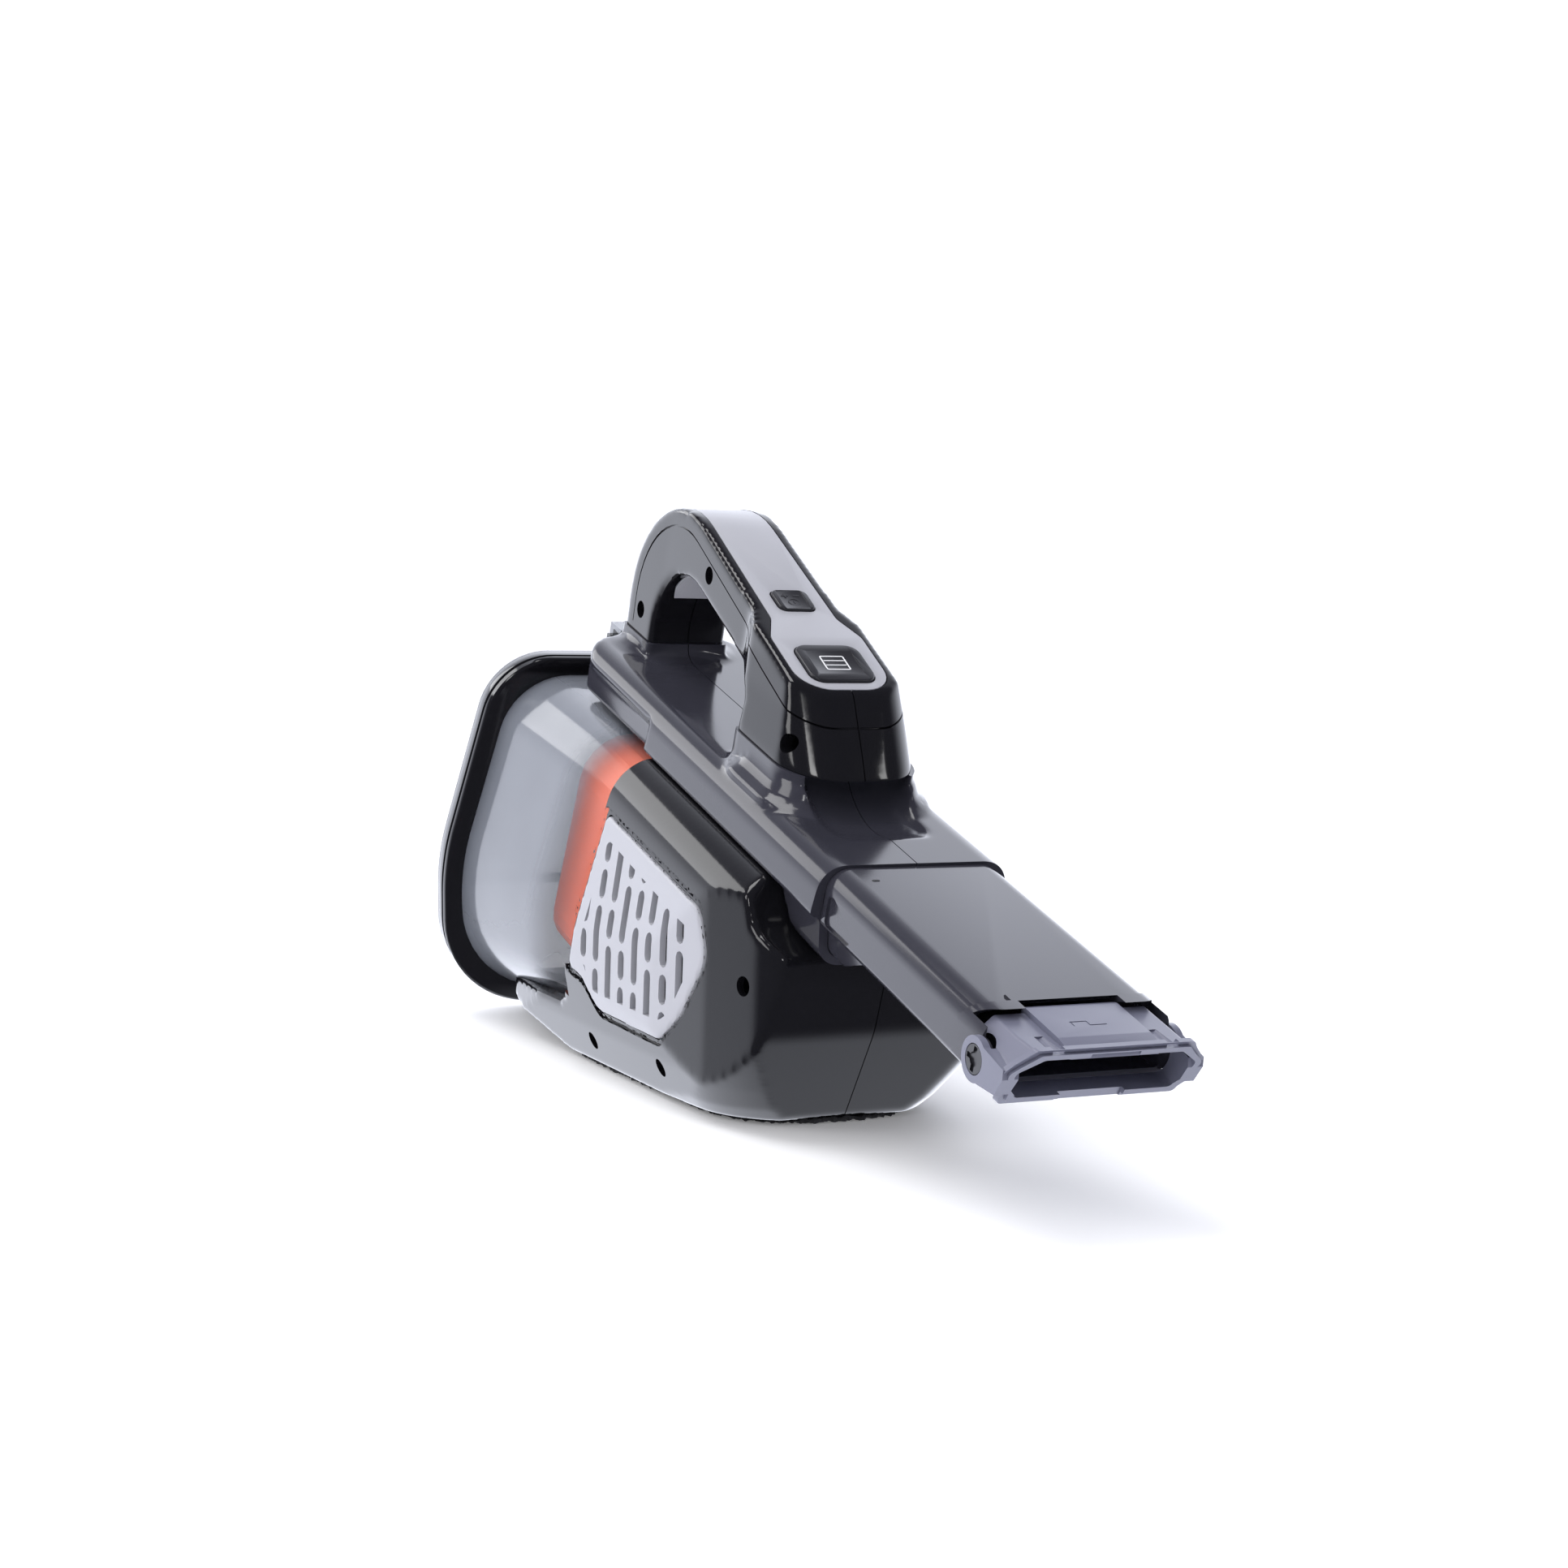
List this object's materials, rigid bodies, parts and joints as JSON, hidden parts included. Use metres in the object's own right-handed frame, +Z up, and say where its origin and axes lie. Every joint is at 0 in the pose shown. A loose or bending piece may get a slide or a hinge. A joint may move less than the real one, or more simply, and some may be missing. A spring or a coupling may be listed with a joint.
{
  "type": "handheld vacuum",
  "caption": "Cordless handheld vacuum with a sloped duct, a flip-up nozzle tip, a loop handle with two push buttons, side exhaust grilles and a smoked rear dust bowl whose door hinges open",
  "frame": {"origin": "the middle of the flat base that the vacuum rests on", "axes": "+Z up, the nozzle points to -Y, +X is the user's left"},
  "size_m": [0.145, 0.4353, 0.2202],
  "materials": {
    "gloss_black": "polished moulded plastic",
    "gloss_charcoal": "glossy moulded plastic with a faint sheen",
    "pale_grey": "satin moulded plastic",
    "mid_grey": "fine-textured moulded plastic",
    "button_dark": "satin moulded plastic with a raised mark",
    "smoked_clear": "smoked transparent plastic",
    "orange_plastic": "satin moulded plastic",
    "filter_cloth": "pleated filter cloth",
    "screen_mesh": "moulded screen",
    "soft_black": "soft moulded rubber",
    "sole_black": "coarse textured sole",
    "foam_black": "open-cell foam",
    "steel": "plated steel",
    "can_steel": "zinc-plated steel",
    "fan_plastic": "moulded plastic",
    "cell_wrap": "shrink-wrapped cell",
    "board_green": "solder-masked board"
  },
  "bodies": {
    "root": {"top_shell_right": "gloss_charcoal", "top_shell_left": "gloss_charcoal", "motor_housing_right": "gloss_black", "motor_housing_left": "gloss_black", "handle_right": "gloss_black", "handle_left": "gloss_black", "grip_panel": "pale_grey", "control_board": "board_green", "button_switches": "can_steel", "nozzle": "gloss_charcoal", "nozzle_seal": "soft_black", "tip_pins": "mid_grey", "vent_grille_right": "pale_grey", "vent_grille_left": "pale_grey", "exhaust_foams": "foam_black", "base_pad": "sole_black", "dust_bowl": "smoked_clear", "bowl_rim": "soft_black", "door_seal": "soft_black", "door_hinge_pin": "steel", "filter_frame": "orange_plastic", "filter_pleats": "filter_cloth", "filter_screen": "screen_mesh", "flap_pin": "steel", "motor_can": "can_steel", "motor_mounts": "soft_black", "fan_shroud": "button_dark", "battery_cells": "cell_wrap", "battery_tray": "button_dark", "power_board": "board_green", "charge_socket": "button_dark", "housing_screws": "steel"},
    "tip": {"flip_tip": "mid_grey"},
    "door": {"rear_door": "smoked_clear"},
    "latch": {"door_latch": "gloss_black"},
    "power_key": {"power_button": "button_dark"},
    "mode_key": {"mode_button": "button_dark"},
    "rotor": {"motor_shaft": "steel", "fan_impeller": "fan_plastic"},
    "flap": {"inlet_flap": "button_dark"}
  },
  "joints": [
    {"name": "tip_flip", "type": "hinge", "parent": "root", "child": "tip", "pos_m": [0, -0.22502, 0.0544], "axis": [-1, 0, 0], "range_deg": [0, 50]},
    {"name": "door_hinge", "type": "hinge", "parent": "root", "child": "door", "pos_m": [0, 0.18199, 0.00623], "axis": [-1, 0, 0], "range_deg": [0, 90]},
    {"name": "latch_press", "type": "slide", "parent": "root", "child": "latch", "axis": [0, 0.2874, -0.9578], "range_m": [0, 0.0024], "stiffness_N_per_m": 700, "springref_m": -0.0015},
    {"name": "power_press", "type": "slide", "parent": "root", "child": "power_key", "axis": [0, 0.515, -0.8572], "range_m": [0, 0.0012], "stiffness_N_per_m": 700, "springref_m": -0.001},
    {"name": "mode_press", "type": "slide", "parent": "root", "child": "mode_key", "axis": [0, 0.515, -0.8572], "range_m": [0, 0.0012], "stiffness_N_per_m": 700, "springref_m": -0.001},
    {"name": "fan_spin", "type": "hinge", "parent": "root", "child": "rotor", "pos_m": [0, 0.01934, 0.05943], "axis": [0, 0.9578, 0.2874], "continuous": true},
    {"name": "flap_swing", "type": "hinge", "parent": "root", "child": "flap", "pos_m": [0, 0.07426, 0.13041], "axis": [-1, 0, 0], "range_deg": [0, 65], "stiffness_Nm_per_rad": 0.004, "springref_deg": -22.92}
  ]
}
